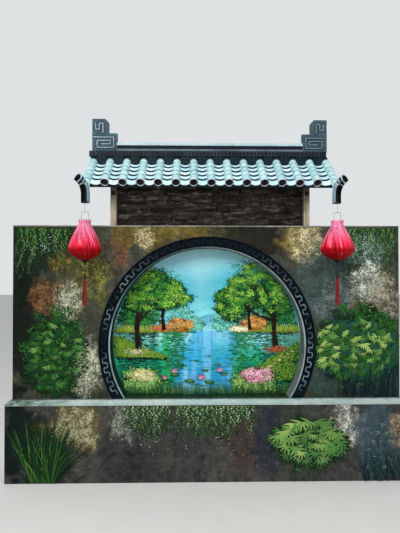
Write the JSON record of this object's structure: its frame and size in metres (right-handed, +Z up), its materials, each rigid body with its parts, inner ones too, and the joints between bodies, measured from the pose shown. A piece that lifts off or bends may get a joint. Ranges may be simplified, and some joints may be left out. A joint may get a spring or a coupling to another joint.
{
  "type": "moon gate garden wall",
  "caption": "Plastered garden wall with a round blind moon gate over a low bench wall, a tiled roof on posts above it and red silk lanterns under its corners.",
  "frame": {"origin": "on the ground under the moon gate's centre, in the middle of the main wall's thickness", "axes": "+X along the wall to the viewer's right, +Y through it away from the painted face, +Z up"},
  "size_m": [3.48, 0.7376, 3.2351],
  "materials": {
    "plaster": "matt painted plaster, mottled and stained",
    "cement": "smooth pale cement with moss stains",
    "ring_paint": "satin blue-black paint with a grey key fret",
    "reveal_plaster": "matt painted plaster",
    "mural_paint": "satin painted landscape",
    "post_timber": "weathered planed timber",
    "brick": "dark weathered brick",
    "dark_timber": "dark stained timber",
    "board_paint": "dark teal paint",
    "tile_glaze": "glazed roof tile",
    "dark_glaze": "dark glazed roof tile",
    "cap_glaze": "pale glazed ridge tile",
    "ornament_glaze": "blue-grey glazed ornament",
    "wire": "dull bent wire",
    "bamboo": "split bamboo and wire",
    "silk": "red silk with a small woven figure",
    "lacquer": "black lacquer",
    "thread": "twisted silk thread"
  },
  "bodies": {
    "root": {"wall_base": "plaster", "back_wall": "plaster", "front_wall_left": "plaster", "front_wall_right": "plaster", "front_wall_top": "plaster", "wall_screed": "cement", "bench_wall": "plaster", "bench_coping": "cement", "moon_ring": "ring_paint", "reveal_lining": "reveal_plaster", "mural_panel": "mural_paint", "posts": "post_timber", "brick_infill": "brick", "tie_beams": "dark_timber", "eave_purlins": "dark_timber", "ridge_beam": "dark_timber", "rafters": "dark_timber", "roof_boards": "dark_timber", "fascia_boards": "board_paint", "gable_boards": "board_paint", "front_pan_tiles": "tile_glaze", "back_pan_tiles": "tile_glaze", "front_barrel_tiles": "tile_glaze", "back_barrel_tiles": "tile_glaze", "eave_discs": "dark_glaze", "ridge_fillers": "dark_glaze", "ridge_saddle": "dark_glaze", "ridge_band": "dark_glaze", "ridge_cap": "cap_glaze", "ridge_ornaments": "ornament_glaze", "corner_horns": "ornament_glaze", "lantern_hooks": "wire"},
    "left_hanger": {"left_link": "wire"},
    "right_hanger": {"right_link": "wire"},
    "left_lantern": {"left_frame": "bamboo", "left_ribs": "bamboo", "left_silk": "silk", "left_finial": "lacquer", "left_tassel_cord": "thread", "left_tassel": "thread"},
    "right_lantern": {"right_frame": "bamboo", "right_ribs": "bamboo", "right_silk": "silk", "right_finial": "lacquer", "right_tassel_cord": "thread", "right_tassel": "thread"}
  },
  "joints": [
    {"name": "left_sway", "type": "hinge", "parent": "root", "child": "left_hanger", "pos_m": [-1.049, -0.3643, 2.4], "axis": [0, 1, 0], "range_deg": [-30, 30]},
    {"name": "left_swing", "type": "hinge", "parent": "left_hanger", "child": "left_lantern", "pos_m": [-1.049, -0.3643, 2.317], "axis": [1, 0, 0], "range_deg": [-30, 12]},
    {"name": "right_sway", "type": "hinge", "parent": "root", "child": "right_hanger", "pos_m": [1.107, -0.3643, 2.4], "axis": [0, 1, 0], "range_deg": [-30, 30]},
    {"name": "right_swing", "type": "hinge", "parent": "right_hanger", "child": "right_lantern", "pos_m": [1.107, -0.3643, 2.317], "axis": [1, 0, 0], "range_deg": [-30, 12]}
  ]
}
